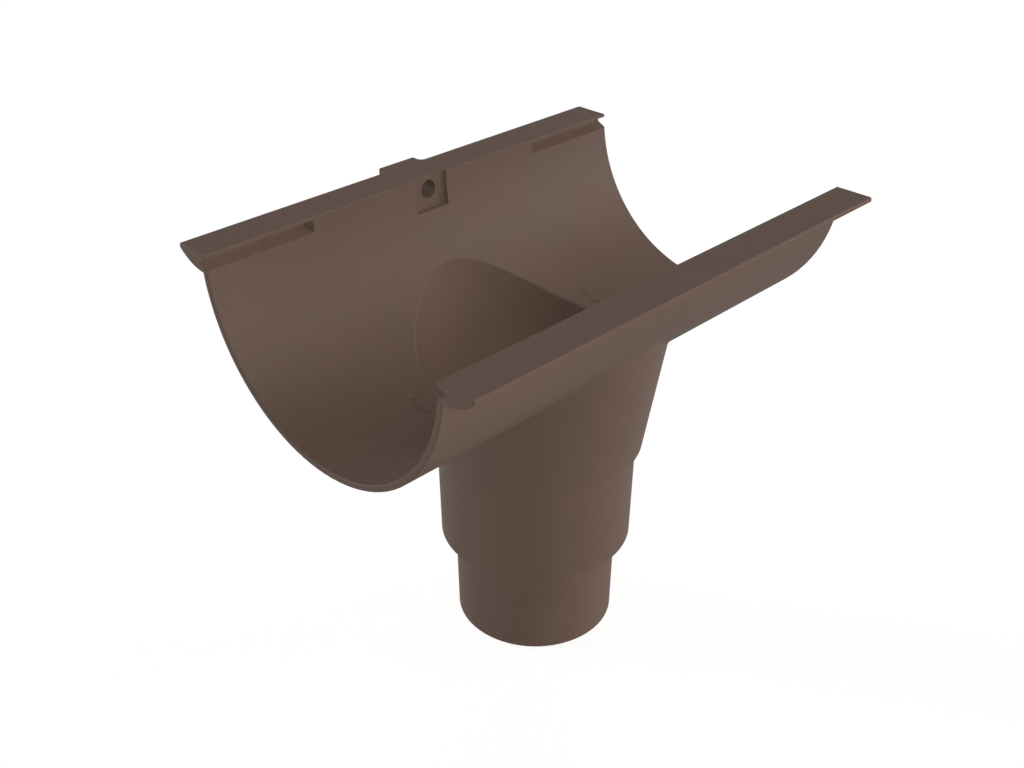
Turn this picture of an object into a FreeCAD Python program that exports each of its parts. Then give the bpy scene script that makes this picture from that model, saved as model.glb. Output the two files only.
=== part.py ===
import FreeCAD, Part
import Sketcher
import math
import os
import re

# Gutter outlet: a half-round trough with flat rims, and a funnel below it that steps down to two pipe ends.
# X runs along the trough, +Y is the side with the screw boss, +Z is up.
# The origin is the centre of the lower spigot's end, and all sizes are in millimetres.

NODE = "gutter_outlet"

SIZES = [
    ("trough_length", 229.0, "end to end along X"),
    ("trough_bore_radius", 65.5, "inside of the half-round wall, centred on the rims' top plane"),
    ("trough_wall", 2.8, "thickness of the half-round wall"),
    ("rim_width", 17.1, "flat top of a rim, from the trough's bore to its outer edge"),
    ("rim_edge", 1.9, "height of a rim's outer edge"),
    ("rim_depth", 8.2, "rim top to where its underside meets the wall"),
    ("rim_belly_radius", 23.6, "radius of the bulging underside of a rim"),
    ("rim_round", 0.7, "rounding of the rims' long top edges"),
    ("end_edge", 0.5, "chamfer round the trough's two ends"),
    ("spigot_length", 45.4, "lower spigot, from its end to the step"),
    ("spigot_radius", 36.6, "outside of the lower spigot at its step"),
    ("spigot_end_edge", 0.8, "chamfer of the spigot's outer end edge"),
    ("pipe_length", 48.0, "upper spigot, from step to step"),
    ("pipe_radius", 43.9, "outside of the upper spigot at its upper step"),
    ("pipe_wall", 2.6, "thickness of both spigots"),
    ("pipe_draft", 0.95, "draft of both spigots in degrees"),
    ("funnel_drop", 34.3, "trough's underside down to the funnel's lower end"),
    ("funnel_step", 2.9, "outside of the upper spigot to the outside of the funnel's lower end"),
    ("funnel_margin", 5.05, "trough's bore to the funnel's outside at the funnel's hidden top"),
    ("funnel_wall", 2.8, "thickness of the funnel's wall"),
    ("junction_round", 2.0, "fillet where the funnel leaves the trough's outside"),
    ("mouth_round", 1.6, "rounding of the funnel's mouth inside the trough"),
    ("slot_length", 51.4, "each end slot at its mouth, from the trough's end"),
    ("slot_drop", 1.3, "rim top to the slot's upper edge at its mouth"),
    ("slot_height", 5.2, "slot height at its mouth"),
    ("slot_depth", 4.3, "slot mouth to its back wall"),
    ("slot_flare", 24.5, "slope of the slot's upper, lower and inner faces in degrees"),
    ("slot_lead", 1.0, "from the wall's face in to the plane that a slot is cut from"),
    ("boss_width", 20.2, "screw boss along X"),
    ("boss_overhang", 5.5, "rim's outer edge to the boss's rear face"),
    ("boss_height", 17.0, "rim top to the underside of the boss"),
    ("boss_corner", 1.0, "rounding of the boss's rear upright edges"),
    ("boss_blend", 2.5, "fillet between the boss's sides and the rim's edge"),
    ("recess_width", 19.6, "screw recess along X at the rim's top"),
    ("recess_height", 15.0, "rim top to the recess's ledge"),
    ("recess_depth", 1.7, "trough's bore to the recess's floor at the rim's top"),
    ("recess_corner", 2.5, "rounding between the recess's floor and sides"),
    ("recess_draft", 3.0, "draft of the recess in degrees"),
    ("screw_hole_radius", 4.1, "screw hole through the boss"),
    ("screw_hole_drop", 6.5, "rim top to the screw hole's axis"),
]

# Sheet of sizes
doc = FreeCAD.newDocument(NODE)
sheet = doc.addObject("Spreadsheet::Sheet", "Sizes")
for row, (alias, value, note) in enumerate(SIZES, start=1):
    sheet.set("A%d" % row, alias)
    sheet.set("B%d" % row, str(value))
    sheet.set("C%d" % row, note)
    sheet.setAlias("B%d" % row, alias)
doc.recompute()

body = doc.addObject("PartDesign::Body", "Body")
body.Label = NODE


# Helpers for expressions, sketches and features
def bound(expression):
    """An expression with each of the sheet's names, such as rim_edge, written as Sizes.rim_edge."""
    return re.sub(r"\b([a-z]+(_[a-z]+)+)\b", r"Sizes.\1", expression)


def size(expression):
    """The number that an expression on the sheet's names gives."""
    result = body.evalExpression(bound(expression))
    return float(getattr(result, "Value", result))


def origin_item(role):
    for item in body.Origin.OriginFeatures:
        if item.Role == role:
            return item
    raise ValueError(role)


def new_sketch(name, role, offset="0"):
    """A sketch on one of the body's origin planes, moved along that plane's normal."""
    sketch = body.newObject("Sketcher::SketchObject", name)
    sketch.AttachmentSupport = (origin_item(role), [""])
    sketch.MapMode = "FlatFace"
    sketch.setExpression("AttachmentOffset.Base.z", bound(offset))
    return sketch


def driven(sketch, kind, places, expression):
    """A measuring constraint driven by an expression."""
    number = sketch.addConstraint(Sketcher.Constraint(kind, *places, size(expression)))
    sketch.setExpression("Constraints[%d]" % number, bound(expression))


def locate(sketch, curve, end, across, up):
    """Fixes one point of a curve at the place that two expressions give."""
    driven(sketch, "DistanceX", (-1, 1, curve, end), across)
    driven(sketch, "DistanceY", (-1, 1, curve, end), up)


def joined(sketch, curves):
    """Ties each curve's end to the start of the next one, all the way round."""
    for curve, following in zip(curves, curves[1:] + curves[:1]):
        sketch.addConstraint(Sketcher.Constraint("Coincident", curve, 2, following, 1))


def polygon(sketch, corners):
    """A closed outline of straight edges, with each corner given by two expressions."""
    points = [FreeCAD.Vector(size(across), size(up), 0) for across, up in corners]
    curves = []
    for start, end in zip(points, points[1:] + points[:1]):
        curves.append(sketch.addGeometry(Part.LineSegment(start, end), False))
    joined(sketch, curves)
    for curve, (across, up) in zip(curves, corners):
        locate(sketch, curve, 1, across, up)


def round_corner(sketch, curve, radius):
    """Rounds the corner where a line ends, and leaves the corner's own place as it was."""
    sketch.fillet(curve, 2, size(radius), True, True)
    driven(sketch, "Radius", (sketch.GeometryCount - 2,), radius)


def circle(sketch, across, up, radius):
    centre = FreeCAD.Vector(size(across), size(up), 0)
    curve = sketch.addGeometry(Part.Circle(centre, FreeCAD.Vector(0, 0, 1), size(radius)), False)
    locate(sketch, curve, 3, across, up)
    driven(sketch, "Radius", (curve,), radius)


def finished(feature):
    """Computes a feature as the body's tip and refuses one that has no sound shape."""
    body.Tip = feature
    doc.recompute()
    if feature.Shape.isNull() or not feature.Shape.isValid():
        raise RuntimeError(feature.Name + " has no valid shape")
    return feature


def cut_away(feature):
    """Finishes a cutting feature and makes sure that it removed something."""
    finished(feature)
    if feature.Shape.Volume > feature.BaseFeature.Shape.Volume - 1.0:
        raise RuntimeError(feature.Name + " cut nothing")
    return feature


def dressed(kind, name, width, test):
    """Fillets or chamfers every edge of the tip whose points all pass a test."""
    base = body.Tip
    names = []
    for number, edge in enumerate(base.Shape.Edges, start=1):
        first, last = edge.ParameterRange
        points = [edge.valueAt(first + (last - first) * share) for share in (0.1, 0.5, 0.9)]
        if all(test(point) for point in points):
            names.append("Edge%d" % number)
    if not names:
        raise RuntimeError(name + " found no edge")
    dressing = body.newObject("PartDesign::" + kind, name)
    dressing.Base = (base, names)
    dressing.setExpression({"Fillet": "Radius", "Chamfer": "Size"}[kind], bound(width))
    return finished(dressing)


def close(value, expression, slack=0.02):
    return abs(value - size(expression)) < slack


# Expressions that several features share, the funnel's top being hidden inside the trough
TROUGH_OUTER = "(trough_bore_radius + trough_wall)"
RIM_REACH = "(trough_bore_radius + rim_width)"
BOSS_REACH = "(trough_bore_radius + rim_width + boss_overhang)"
PIPE_TOP = "(spigot_length + pipe_length)"
RIM_TOP = "(spigot_length + pipe_length + funnel_drop + trough_wall + trough_bore_radius)"
FUNNEL_TOP = "(%s - trough_bore_radius / 4)" % RIM_TOP
SPIGOT_END_RADIUS = "(spigot_radius - spigot_length * tan(pipe_draft))"
PIPE_END_RADIUS = "(pipe_radius - pipe_length * tan(pipe_draft))"
FUNNEL_RADIUS = "(pipe_radius + funnel_step)"
FUNNEL_TOP_RADIUS = "(trough_bore_radius - funnel_margin)"
FUNNEL_SLOPE = "((%s - %s) / (%s - %s))" % (FUNNEL_TOP_RADIUS, FUNNEL_RADIUS, FUNNEL_TOP, PIPE_TOP)
FUNNEL_THICKNESS = "(funnel_wall * sqrt(1 + %s ^ 2))" % FUNNEL_SLOPE


# Distances that the edge tests measure
def from_trough_axis(point):
    return math.hypot(point.y, point.z - size(RIM_TOP))


def from_pipe_axis(point):
    return math.hypot(point.x, point.y)


def funnel_radius_at(height):
    return size(FUNNEL_RADIUS) + (height - size(PIPE_TOP)) * size(FUNNEL_SLOPE)


# Trough with its rims, still solid
def trough_outline(sketch):
    """Top line, outer edges, bulging undersides and the half-round outside, seen along X."""
    top = size(RIM_TOP)
    reach = size(RIM_REACH)
    edge = top - size("rim_edge")
    outer = size(TROUGH_OUTER)
    foot_drop = size("rim_depth")
    foot_across = math.sqrt(outer**2 - foot_drop**2)
    foot = FreeCAD.Vector(foot_across, top - foot_drop, 0)
    tip = FreeCAD.Vector(reach, edge, 0)
    belly = size("rim_belly_radius")
    chord = tip - foot
    inward = FreeCAD.Vector(-chord.y, chord.x, 0).normalize()
    belly_centre = (foot + tip) * 0.5 + inward * math.sqrt(belly**2 - chord.Length**2 / 4)
    foot_angle = math.atan2(foot.y - belly_centre.y, foot.x - belly_centre.x)
    tip_angle = math.atan2(tip.y - belly_centre.y, tip.x - belly_centre.x)
    wall_angle = math.asin(foot_drop / outer)
    normal = FreeCAD.Vector(0, 0, 1)
    left_belly_centre = FreeCAD.Vector(-belly_centre.x, belly_centre.y, 0)
    left_tip = FreeCAD.Vector(-reach, edge, 0)
    top_left = FreeCAD.Vector(-reach, top, 0)
    top_right = FreeCAD.Vector(reach, top, 0)
    left_belly = Part.ArcOfCircle(
        Part.Circle(left_belly_centre, normal, belly), -math.pi - tip_angle, -math.pi - foot_angle
    )
    wall = Part.ArcOfCircle(
        Part.Circle(FreeCAD.Vector(0, top, 0), normal, outer), -math.pi + wall_angle, -wall_angle
    )
    right_belly = Part.ArcOfCircle(Part.Circle(belly_centre, normal, belly), foot_angle, tip_angle)
    curves = [
        Part.LineSegment(top_right, top_left),
        Part.LineSegment(top_left, left_tip),
        left_belly,
        wall,
        right_belly,
        Part.LineSegment(tip, top_right),
    ]
    numbers = [sketch.addGeometry(curve, False) for curve in curves]
    joined(sketch, numbers)
    top_line, left_edge, left_arc, wall_arc, right_arc, right_edge = numbers
    locate(sketch, top_line, 1, RIM_REACH, RIM_TOP)
    locate(sketch, top_line, 2, "-" + RIM_REACH, RIM_TOP)
    locate(sketch, left_edge, 2, "-" + RIM_REACH, RIM_TOP + " - rim_edge")
    locate(sketch, right_edge, 1, RIM_REACH, RIM_TOP + " - rim_edge")
    locate(sketch, wall_arc, 3, "0", RIM_TOP)
    driven(sketch, "Radius", (wall_arc,), TROUGH_OUTER)
    driven(sketch, "Radius", (left_arc,), "rim_belly_radius")
    driven(sketch, "Radius", (right_arc,), "rim_belly_radius")
    driven(sketch, "DistanceY", (-1, 1, left_arc, 2), RIM_TOP + " - rim_depth")
    driven(sketch, "DistanceY", (-1, 1, right_arc, 1), RIM_TOP + " - rim_depth")


section = new_sketch("TroughSection", "YZ_Plane")
trough_outline(section)
trough = body.newObject("PartDesign::Pad", "Trough")
trough.Profile = section
trough.SideType = "Symmetric"
trough.setExpression("Length", bound("trough_length"))
finished(trough)

# Funnel and the two stepped pipe ends, still solid
outside = new_sketch("PipeOutside", "XZ_Plane")
polygon(
    outside,
    [
        ("0", "0"),
        (SPIGOT_END_RADIUS, "0"),
        ("spigot_radius", "spigot_length"),
        (PIPE_END_RADIUS, "spigot_length"),
        ("pipe_radius", PIPE_TOP),
        (FUNNEL_RADIUS, PIPE_TOP),
        (FUNNEL_TOP_RADIUS, FUNNEL_TOP),
        ("0", FUNNEL_TOP),
    ],
)
pipes = body.newObject("PartDesign::Revolution", "FunnelAndPipes")
pipes.Profile = outside
pipes.ReferenceAxis = (outside, ["V_Axis"])
pipes.Angle = 360
finished(pipes)

dressed(
    "Fillet",
    "JunctionRound",
    "junction_round",
    lambda point: close(from_trough_axis(point), TROUGH_OUTER)
    and abs(from_pipe_axis(point) - funnel_radius_at(point.z)) < 0.02,
)

# Screw boss behind the rear rim: a tab that continues the rim's top, on a block for the screw
TAB_FOOT = "(boss_width / 2 + 2 * boss_blend)"
tab_plan = new_sketch("TabPlan", "XY_Plane", RIM_TOP)
polygon(
    tab_plan,
    [
        ("-" + TAB_FOOT, "trough_bore_radius"),
        (TAB_FOOT, "trough_bore_radius"),
        (TAB_FOOT, RIM_REACH),
        ("boss_width / 2", RIM_REACH),
        ("boss_width / 2", BOSS_REACH),
        ("-boss_width / 2", BOSS_REACH),
        ("-boss_width / 2", RIM_REACH),
        ("-" + TAB_FOOT, RIM_REACH),
    ],
)
for edge_before, radius in ((2, "boss_blend"), (3, "boss_corner"), (4, "boss_corner"), (5, "boss_blend")):
    round_corner(tab_plan, edge_before, radius)
tab = body.newObject("PartDesign::Pad", "Tab")
tab.Profile = tab_plan
tab.Reversed = True
tab.setExpression("Length", bound("rim_edge"))
finished(tab)

block_plan = new_sketch("BlockPlan", "XY_Plane", RIM_TOP + " - rim_edge / 2")
polygon(
    block_plan,
    [
        ("-boss_width / 2", "trough_bore_radius"),
        ("boss_width / 2", "trough_bore_radius"),
        ("boss_width / 2", BOSS_REACH),
        ("-boss_width / 2", BOSS_REACH),
    ],
)
for edge_before in (1, 2):
    round_corner(block_plan, edge_before, "boss_corner")
block = body.newObject("PartDesign::Pad", "BossBlock")
block.Profile = block_plan
block.Reversed = True
block.setExpression("Length", bound("boss_height - rim_edge / 2"))
finished(block)

# Half-round channel
channel_section = new_sketch("ChannelSection", "YZ_Plane")
circle(channel_section, "0", RIM_TOP, "trough_bore_radius")
channel = body.newObject("PartDesign::Pocket", "Channel")
channel.Profile = channel_section
channel.SideType = "Symmetric"
channel.setExpression("Length", bound("trough_length + trough_wall"))
cut_away(channel)

# Bore through the funnel and the pipe ends, with sloping steps that let water run off
SPIGOT_BORE = "(spigot_radius - pipe_wall)"
SPIGOT_END_BORE = "(%s - pipe_wall)" % SPIGOT_END_RADIUS
PIPE_BORE = "(pipe_radius - pipe_wall)"
PIPE_END_BORE = "(%s - pipe_wall)" % PIPE_END_RADIUS
LOWER_STEP = "((%s - %s) / (1 - tan(pipe_draft)))" % (PIPE_END_BORE, SPIGOT_BORE)
UPPER_STEP = "((%s - %s - %s) / (1 - %s))" % (FUNNEL_RADIUS, FUNNEL_THICKNESS, PIPE_BORE, FUNNEL_SLOPE)
inside = new_sketch("PipeInside", "XZ_Plane")
polygon(
    inside,
    [
        ("0", "0"),
        (SPIGOT_END_BORE, "0"),
        (SPIGOT_BORE, "spigot_length"),
        (SPIGOT_BORE + " + " + LOWER_STEP, "spigot_length + " + LOWER_STEP),
        (PIPE_BORE, PIPE_TOP),
        (PIPE_BORE + " + " + UPPER_STEP, PIPE_TOP + " + " + UPPER_STEP),
        (FUNNEL_TOP_RADIUS + " - " + FUNNEL_THICKNESS, FUNNEL_TOP),
        ("0", FUNNEL_TOP),
    ],
)
bore = body.newObject("PartDesign::Groove", "Bore")
bore.Profile = inside
bore.ReferenceAxis = (inside, ["V_Axis"])
bore.Angle = 360
cut_away(bore)

dressed(
    "Fillet",
    "MouthRound",
    "mouth_round",
    lambda point: close(from_trough_axis(point), "trough_bore_radius")
    and point.z > size(PIPE_TOP)
    and abs(from_pipe_axis(point) - funnel_radius_at(point.z) + size(FUNNEL_THICKNESS)) < 0.02,
)

# Edges of the spigot's end, the rims and the trough's ends
dressed(
    "Chamfer",
    "SpigotEndEdge",
    "spigot_end_edge",
    lambda point: close(point.z, "0") and close(from_pipe_axis(point), SPIGOT_END_RADIUS),
)
dressed(
    "Fillet",
    "RimRound",
    "rim_round",
    lambda point: close(point.z, RIM_TOP)
    and (abs(point.y) > size(RIM_REACH) - 0.02 or close(abs(point.y), "trough_bore_radius"))
    and abs(point.x) < size("trough_length / 2") - 0.02,
)
dressed(
    "Chamfer",
    "EndEdge",
    "end_edge",
    lambda point: close(abs(point.x), "trough_length / 2"),
)

# Slots under the rims' inner edges, two at each end, wider at the mouth than at the back wall
SLOT_GROWTH = "(slot_lead * tan(slot_flare))"
SLOT_INNER = "(trough_length / 2 - slot_length - %s)" % SLOT_GROWTH
SLOT_OUTER = "(trough_length / 2 + slot_depth + slot_lead)"
SLOT_UPPER = "(%s - slot_drop + %s)" % (RIM_TOP, SLOT_GROWTH)
SLOT_LOWER = "(%s - slot_drop - slot_height - %s)" % (RIM_TOP, SLOT_GROWTH)
slot_mouths = new_sketch("SlotMouths", "XZ_Plane", "slot_lead - trough_bore_radius")
for sign in ("", "-"):
    polygon(
        slot_mouths,
        [
            (sign + SLOT_INNER, SLOT_LOWER),
            (sign + SLOT_OUTER, SLOT_LOWER),
            (sign + SLOT_OUTER, SLOT_UPPER),
            (sign + SLOT_INNER, SLOT_UPPER),
        ],
    )
slots = body.newObject("PartDesign::Pocket", "RearSlots")
slots.Profile = slot_mouths
slots.setExpression("Length", bound("slot_depth + slot_lead"))
slots.setExpression("TaperAngle", bound("-slot_flare"))
cut_away(slots)
front_slots = body.newObject("PartDesign::Mirrored", "FrontSlots")
front_slots.Originals = [slots]
front_slots.MirrorPlane = (origin_item("XZ_Plane"), [""])
finished(front_slots)

# Recess for the screw head, open at the top, and the screw hole behind it
recess_plan = new_sketch("RecessPlan", "XY_Plane", RIM_TOP)
polygon(
    recess_plan,
    [
        ("-recess_width / 2", "trough_bore_radius - recess_height"),
        ("recess_width / 2", "trough_bore_radius - recess_height"),
        ("recess_width / 2", "trough_bore_radius + recess_depth"),
        ("-recess_width / 2", "trough_bore_radius + recess_depth"),
    ],
)
for edge_before in (1, 2):
    round_corner(recess_plan, edge_before, "recess_corner")
recess = body.newObject("PartDesign::Pocket", "ScrewRecess")
recess.Profile = recess_plan
recess.setExpression("Length", bound("recess_height"))
recess.setExpression("TaperAngle", bound("-recess_draft"))
cut_away(recess)

hole_face = new_sketch("ScrewHoleFace", "XZ_Plane", "-trough_bore_radius / 2")
circle(hole_face, "0", RIM_TOP + " - screw_hole_drop", "screw_hole_radius")
hole = body.newObject("PartDesign::Pocket", "ScrewHole")
hole.Profile = hole_face
hole.Type = "ThroughAll"
cut_away(hole)

# Every object must have computed, and the part must be one sound solid
for item in doc.Objects:
    if "Invalid" in item.State or "Error" in item.State:
        raise RuntimeError(item.Name + " failed: " + str(item.State))
shape = body.Shape
if shape.isNull() or not shape.isValid() or len(shape.Solids) != 1:
    raise RuntimeError("the outlet is not one valid solid")

os.makedirs("parts", exist_ok=True)
shape.exportStep("parts/" + NODE + ".step")
print(NODE, "volume", round(shape.Volume / 1000, 2), "cm3, faces", len(shape.Faces))
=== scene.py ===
import math

import bpy
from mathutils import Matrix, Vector


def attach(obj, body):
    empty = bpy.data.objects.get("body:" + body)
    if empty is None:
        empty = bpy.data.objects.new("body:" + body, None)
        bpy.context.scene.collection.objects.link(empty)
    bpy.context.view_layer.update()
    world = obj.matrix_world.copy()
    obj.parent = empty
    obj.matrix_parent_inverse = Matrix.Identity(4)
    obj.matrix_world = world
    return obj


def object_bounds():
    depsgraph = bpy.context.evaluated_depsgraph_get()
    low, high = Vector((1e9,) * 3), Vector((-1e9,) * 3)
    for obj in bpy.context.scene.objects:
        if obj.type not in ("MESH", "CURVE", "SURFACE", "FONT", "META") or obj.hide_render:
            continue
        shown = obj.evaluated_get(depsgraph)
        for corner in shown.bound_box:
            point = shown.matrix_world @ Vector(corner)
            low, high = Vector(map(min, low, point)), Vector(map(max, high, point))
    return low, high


# Gutter outlet of brown moulded plastic on a pale floor, seen from above the near end of its trough
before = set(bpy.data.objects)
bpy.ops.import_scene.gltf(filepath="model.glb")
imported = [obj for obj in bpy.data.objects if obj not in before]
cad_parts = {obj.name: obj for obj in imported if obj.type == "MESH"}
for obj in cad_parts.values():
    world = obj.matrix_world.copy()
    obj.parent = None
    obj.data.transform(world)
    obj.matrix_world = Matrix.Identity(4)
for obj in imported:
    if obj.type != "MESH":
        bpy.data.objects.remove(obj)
CAD_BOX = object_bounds()
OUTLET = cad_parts["gutter_outlet"]
LOW, HIGH = (Vector(corner) for corner in CAD_BOX)
SPAN = max(HIGH - LOW)
MM = 0.001
WHITE = (1.0, 1.0, 1.0, 1.0)

# The camera, aimed just beside the pipes' axis
CAMERA_AIM = Vector((-0.0076, 0.0076, 0.1188))
CAMERA_DISTANCE = 0.5492
CAMERA_AZIMUTH = -45.016
CAMERA_ELEVATION = 30.906
CAMERA_LENS = 44.65
CAMERA_SENSOR = 36.0
CAMERA_REACH = 100.0

# Colours as linear values
PLASTIC = (0.1486, 0.0949, 0.0711)
# Painted shade: the fine lines' dark colour stands in for the shade in creases
CREASE_SHADE_COLOUR = (0.062, 0.038, 0.028)
FLOOR_WHITE = (0.8, 0.8, 0.8, 1.0)

# Noise sizes on the plastic, as repeats to the metre: broad clouds, mottling and the moulded grain
CLOUD_SCALE = 22.0
MOTTLE_SCALE = 420.0
GRAIN_SCALE = 2600.0
HAIRLINE_MOTTLE_SCALE = 900.0
GRAIN_DEPTH = 0.05
GRAIN_STRENGTH = 0.1

# How far the noise turns lightness and roughness, and the part of its range that is used
NOISE_RANGE = (0.3, 0.7)
CLOUD_LIGHTNESS = (0.965, 1.035)
MOTTLE_LIGHTNESS = (0.975, 1.025)
HAIRLINE_LIGHTNESS = (0.85, 1.15)
PLASTIC_ROUGHNESS = (0.56, 0.64)
PLASTIC_SPECULAR = 0.25
HAIRLINE_ROUGHNESS = 0.7
HAIRLINE_SPECULAR = 0.1
FLOOR_ROUGHNESS = 0.9

# Fine lines in the trough beside the funnel's mouth, dark with painted shade of creases, as X and Y in
# millimetres
TROUGH_RADIUS = 65.5
HAIRLINE_RADIUS = 0.13
HAIRLINES = {
    "hairline_right": [
        [(54.0, 24.6), (55.0, 23.9), (55.4, 22.7), (55.5, 21.5), (55.4, 20.5), (55.0, 19.2),
         (55.0, 17.9), (55.5, 16.8), (56.5, 16.1), (57.7, 16.0), (58.6, 16.1)],
    ],
    "hairline_left": [
        [(-60.3, 12.3), (-59.0, 11.7), (-57.3, 10.9)],
        [(-60.9, 11.1), (-61.4, 9.5), (-61.9, 7.8), (-61.7, 6.2), (-61.2, 5.0), (-60.9, 3.6),
         (-60.1, 1.5), (-58.6, 0.7)],
        [(-58.3, 4.0), (-56.6, 3.6), (-55.3, 3.2), (-54.2, 3.2)],
    ],
}

# Even studio lamps: name, azimuth clockwise from +Y, elevation, strength, whether it casts shadows
LAMPS = [
    ("key", 120.0, 8.0, 0.85, True),
    ("side", 60.0, 35.0, 0.25, True),
    ("key_fill", 120.0, 8.0, 0.35, False),
    ("front_fill", 180.0, 35.0, 1.83, False),
    ("front_low_fill", 150.0, 8.0, 0.2, False),
    ("rear_light", 330.0, 8.0, 1.2, True),
    ("rear_fill", 330.0, 8.0, 0.6, False),
    ("left_low_fill", 300.0, -20.0, 0.4, False),
    ("rear_right_fill", 30.0, 35.0, 0.22, False),
]
LAMP_SPREAD = 35.0
LAMP_DISTANCE = 5 * SPAN
WORLD_STRENGTH = 0.03

# The floor's side, its own lit surface's part in the camera's view, and the white that makes up the rest
FLOOR_SIDE = 60 * SPAN
FLOOR_SHARE = 0.5
FLOOR_GLOW = 1.54


def towards(azimuth, elevation):
    """Unit vector to a place at an azimuth in degrees, clockwise from +Y, and an elevation."""
    across = math.cos(math.radians(elevation))
    return Vector(
        (
            math.sin(math.radians(azimuth)) * across,
            math.cos(math.radians(azimuth)) * across,
            math.sin(math.radians(elevation)),
        )
    )


class Nodes:
    """A material's or world's node tree with short ways to add and join nodes."""

    def __init__(self, owner):
        owner.use_nodes = True
        self.tree = owner.node_tree

    def add(self, kind, values=(), **settings):
        node = self.tree.nodes.new("ShaderNode" + kind)
        for name, value in settings.items():
            setattr(node, name, value)
        for socket, value in dict(values).items():
            if hasattr(value, "is_output"):
                self.tree.links.new(value, node.inputs[socket])
            else:
                node.inputs[socket].default_value = value
        return node

    def join(self, output, node, socket):
        self.tree.links.new(output, node.inputs[socket])

    def spread(self, output, limits):
        """A noise's used range turned into the range between two limits."""
        sockets = ("From Min", "From Max", "To Min", "To Max")
        values = dict(zip(sockets, (*NOISE_RANGE, *limits)), Value=output)
        return self.add("MapRange", values).outputs["Result"]


def shades(colour, lightness, stops):
    """Gives a colour ramp's stops the colour at several lightnesses."""
    for stop, factor in zip(stops, lightness):
        stop.color = (*(channel * factor for channel in colour), 1.0)


def moulded_plastic():
    """Matte brown plastic with a fine grain, slightly uneven in colour and gloss."""
    material = bpy.data.materials.new("brown_plastic")
    nodes = Nodes(material)
    shader = nodes.tree.nodes["Principled BSDF"]
    place = nodes.add("TexCoord").outputs["Object"]
    clouds = nodes.add("TexNoise", {"Vector": place, "Scale": CLOUD_SCALE, "Detail": 3.0, "Roughness": 0.55})
    mottle = nodes.add("TexNoise", {"Vector": place, "Scale": MOTTLE_SCALE, "Detail": 2.0})
    grain = nodes.add("TexNoise", {"Vector": place, "Scale": GRAIN_SCALE, "Detail": 2.0})
    colours = nodes.add("ValToRGB", {"Fac": clouds.outputs["Fac"]})
    stops = colours.color_ramp.elements
    for stop, position in zip(stops, NOISE_RANGE):
        stop.position = position
    shades(PLASTIC, CLOUD_LIGHTNESS, stops)
    speckle = nodes.spread(mottle.outputs["Fac"], MOTTLE_LIGHTNESS)
    tint = nodes.add("VectorMath", {0: colours.outputs["Color"], 3: speckle}, operation="SCALE")
    nodes.join(tint.outputs["Vector"], shader, "Base Color")
    nodes.join(nodes.spread(clouds.outputs["Fac"], PLASTIC_ROUGHNESS), shader, "Roughness")
    relief = {"Strength": GRAIN_STRENGTH, "Distance": GRAIN_DEPTH * MM, "Height": grain.outputs["Fac"]}
    nodes.join(nodes.add("Bump", relief).outputs["Normal"], shader, "Normal")
    shader.inputs["Specular IOR Level"].default_value = PLASTIC_SPECULAR
    return material


def hairline(name, strokes, material):
    """Thin lines half sunk in the trough's inside, coloured with painted crease shade."""
    curve = bpy.data.curves.new(name, "CURVE")
    curve.dimensions = "3D"
    curve.bevel_depth = HAIRLINE_RADIUS * MM
    curve.bevel_resolution = 1
    curve.resolution_u = 3
    curve.use_fill_caps = True
    for stroke in strokes:
        spline = curve.splines.new("BEZIER")
        spline.bezier_points.add(len(stroke) - 1)
        for point, (x, y) in zip(spline.bezier_points, stroke):
            drop = math.sqrt(TROUGH_RADIUS**2 - y**2)
            point.co = Vector((x, y, HIGH.z / MM - drop)) * MM
            point.handle_left_type = point.handle_right_type = "AUTO"
    line = bpy.data.objects.new(name, curve)
    bpy.context.collection.objects.link(line)
    curve.materials.append(material)
    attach(line, "root")


def crease_shade_paint():
    """Dark colour for the fine lines, painted shade that stands in for the shade in creases."""
    material = bpy.data.materials.new("hairline_painted_shade")
    nodes = Nodes(material)
    shader = nodes.tree.nodes["Principled BSDF"]
    place = nodes.add("TexCoord").outputs["Object"]
    mottle = nodes.add("TexNoise", {"Vector": place, "Scale": HAIRLINE_MOTTLE_SCALE, "Detail": 2.0})
    colours = nodes.add("ValToRGB", {"Fac": mottle.outputs["Fac"]})
    # The dark ramp is painted crease shade, mottled a little
    shades(CREASE_SHADE_COLOUR, HAIRLINE_LIGHTNESS, colours.color_ramp.elements)
    nodes.join(colours.outputs["Color"], shader, "Base Color")
    shader.inputs["Roughness"].default_value = HAIRLINE_ROUGHNESS
    shader.inputs["Specular IOR Level"].default_value = HAIRLINE_SPECULAR
    return material


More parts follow.
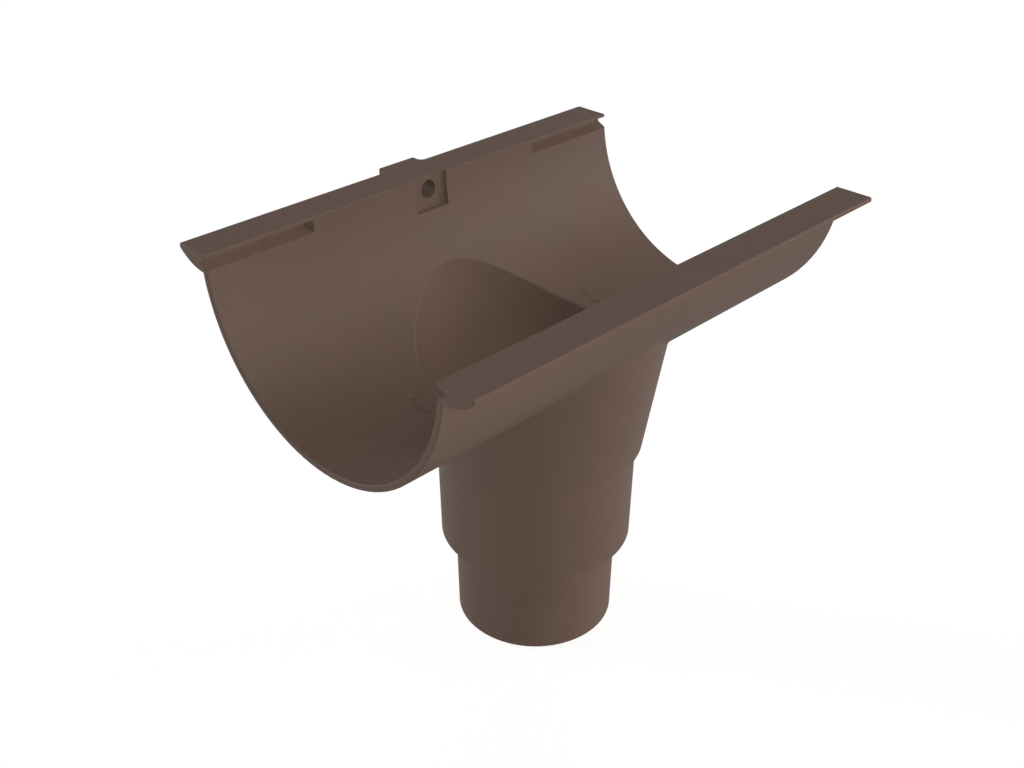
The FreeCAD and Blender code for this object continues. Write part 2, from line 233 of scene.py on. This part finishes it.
def white_floor():
    """A pale floor that reads as white to the camera and still takes a little of the outlet's shadow."""
    bpy.ops.mesh.primitive_plane_add(size=FLOOR_SIDE, location=(0, 0, LOW.z))
    floor = bpy.context.object
    floor.name = "floor"
    material = bpy.data.materials.new("pale_floor")
    nodes = Nodes(material)
    shader = nodes.tree.nodes["Principled BSDF"]
    shader.inputs["Base Color"].default_value = FLOOR_WHITE
    shader.inputs["Roughness"].default_value = FLOOR_ROUGHNESS
    shader.inputs["Specular IOR Level"].default_value = 0.0
    glow = nodes.add("Emission", {"Strength": FLOOR_GLOW})
    rays = nodes.add("LightPath")
    factors = {0: rays.outputs["Is Camera Ray"], 1: 1.0 - FLOOR_SHARE}
    share = nodes.add("Math", factors, operation="MULTIPLY").outputs["Value"]
    mix = nodes.add("MixShader", {"Fac": share, 1: shader.outputs["BSDF"], 2: glow.outputs["Emission"]})
    nodes.join(mix.outputs["Shader"], nodes.tree.nodes["Material Output"], "Surface")
    floor.data.materials.append(material)


def white_world():
    """Faint even light from all round, plain white where the camera sees it."""
    world = bpy.data.worlds.new("studio")
    bpy.context.scene.world = world
    nodes = Nodes(world)
    light = nodes.tree.nodes["Background"]
    light.inputs["Color"].default_value = WHITE
    light.inputs["Strength"].default_value = WORLD_STRENGTH
    white = nodes.add("Background", {"Color": WHITE, "Strength": 1.0}).outputs["Background"]
    to_camera = nodes.add("LightPath").outputs["Is Camera Ray"]
    mix = nodes.add("MixShader", {"Fac": to_camera, 1: light.outputs["Background"], 2: white})
    nodes.join(mix.outputs["Shader"], nodes.tree.nodes["World Output"], "Surface")


def studio_lamps():
    """Broad distant lamps, of which only some cast shadows."""
    for name, azimuth, elevation, strength, casts in LAMPS:
        lamp = bpy.data.lights.new(name, "SUN")
        lamp.energy = strength
        lamp.angle = math.radians(LAMP_SPREAD)
        lamp.use_shadow = casts
        holder = bpy.data.objects.new(name, lamp)
        bpy.context.collection.objects.link(holder)
        away = towards(azimuth, elevation)
        holder.location = away * LAMP_DISTANCE
        holder.rotation_euler = away.to_track_quat("Z", "Y").to_euler()


def camera():
    """The photograph's view."""
    lens = bpy.data.cameras.new("camera")
    lens.lens = CAMERA_LENS
    lens.sensor_width = CAMERA_SENSOR
    lens.clip_end = CAMERA_REACH
    holder = bpy.data.objects.new("camera", lens)
    bpy.context.collection.objects.link(holder)
    holder.location = CAMERA_AIM + towards(180.0 - CAMERA_AZIMUTH, CAMERA_ELEVATION) * CAMERA_DISTANCE
    holder.rotation_euler = (math.radians(90.0 - CAMERA_ELEVATION), 0.0, math.radians(CAMERA_AZIMUTH))
    bpy.context.scene.camera = holder


OUTLET.material_slots[0].material = moulded_plastic()
# The fine lines get a dark material that paints the shade of creases
line_shade_paint = crease_shade_paint()
for name, strokes in HAIRLINES.items():
    hairline(name, strokes, line_shade_paint)
white_floor()
white_world()
studio_lamps()
camera()
bpy.context.scene.view_settings.view_transform = "Standard"
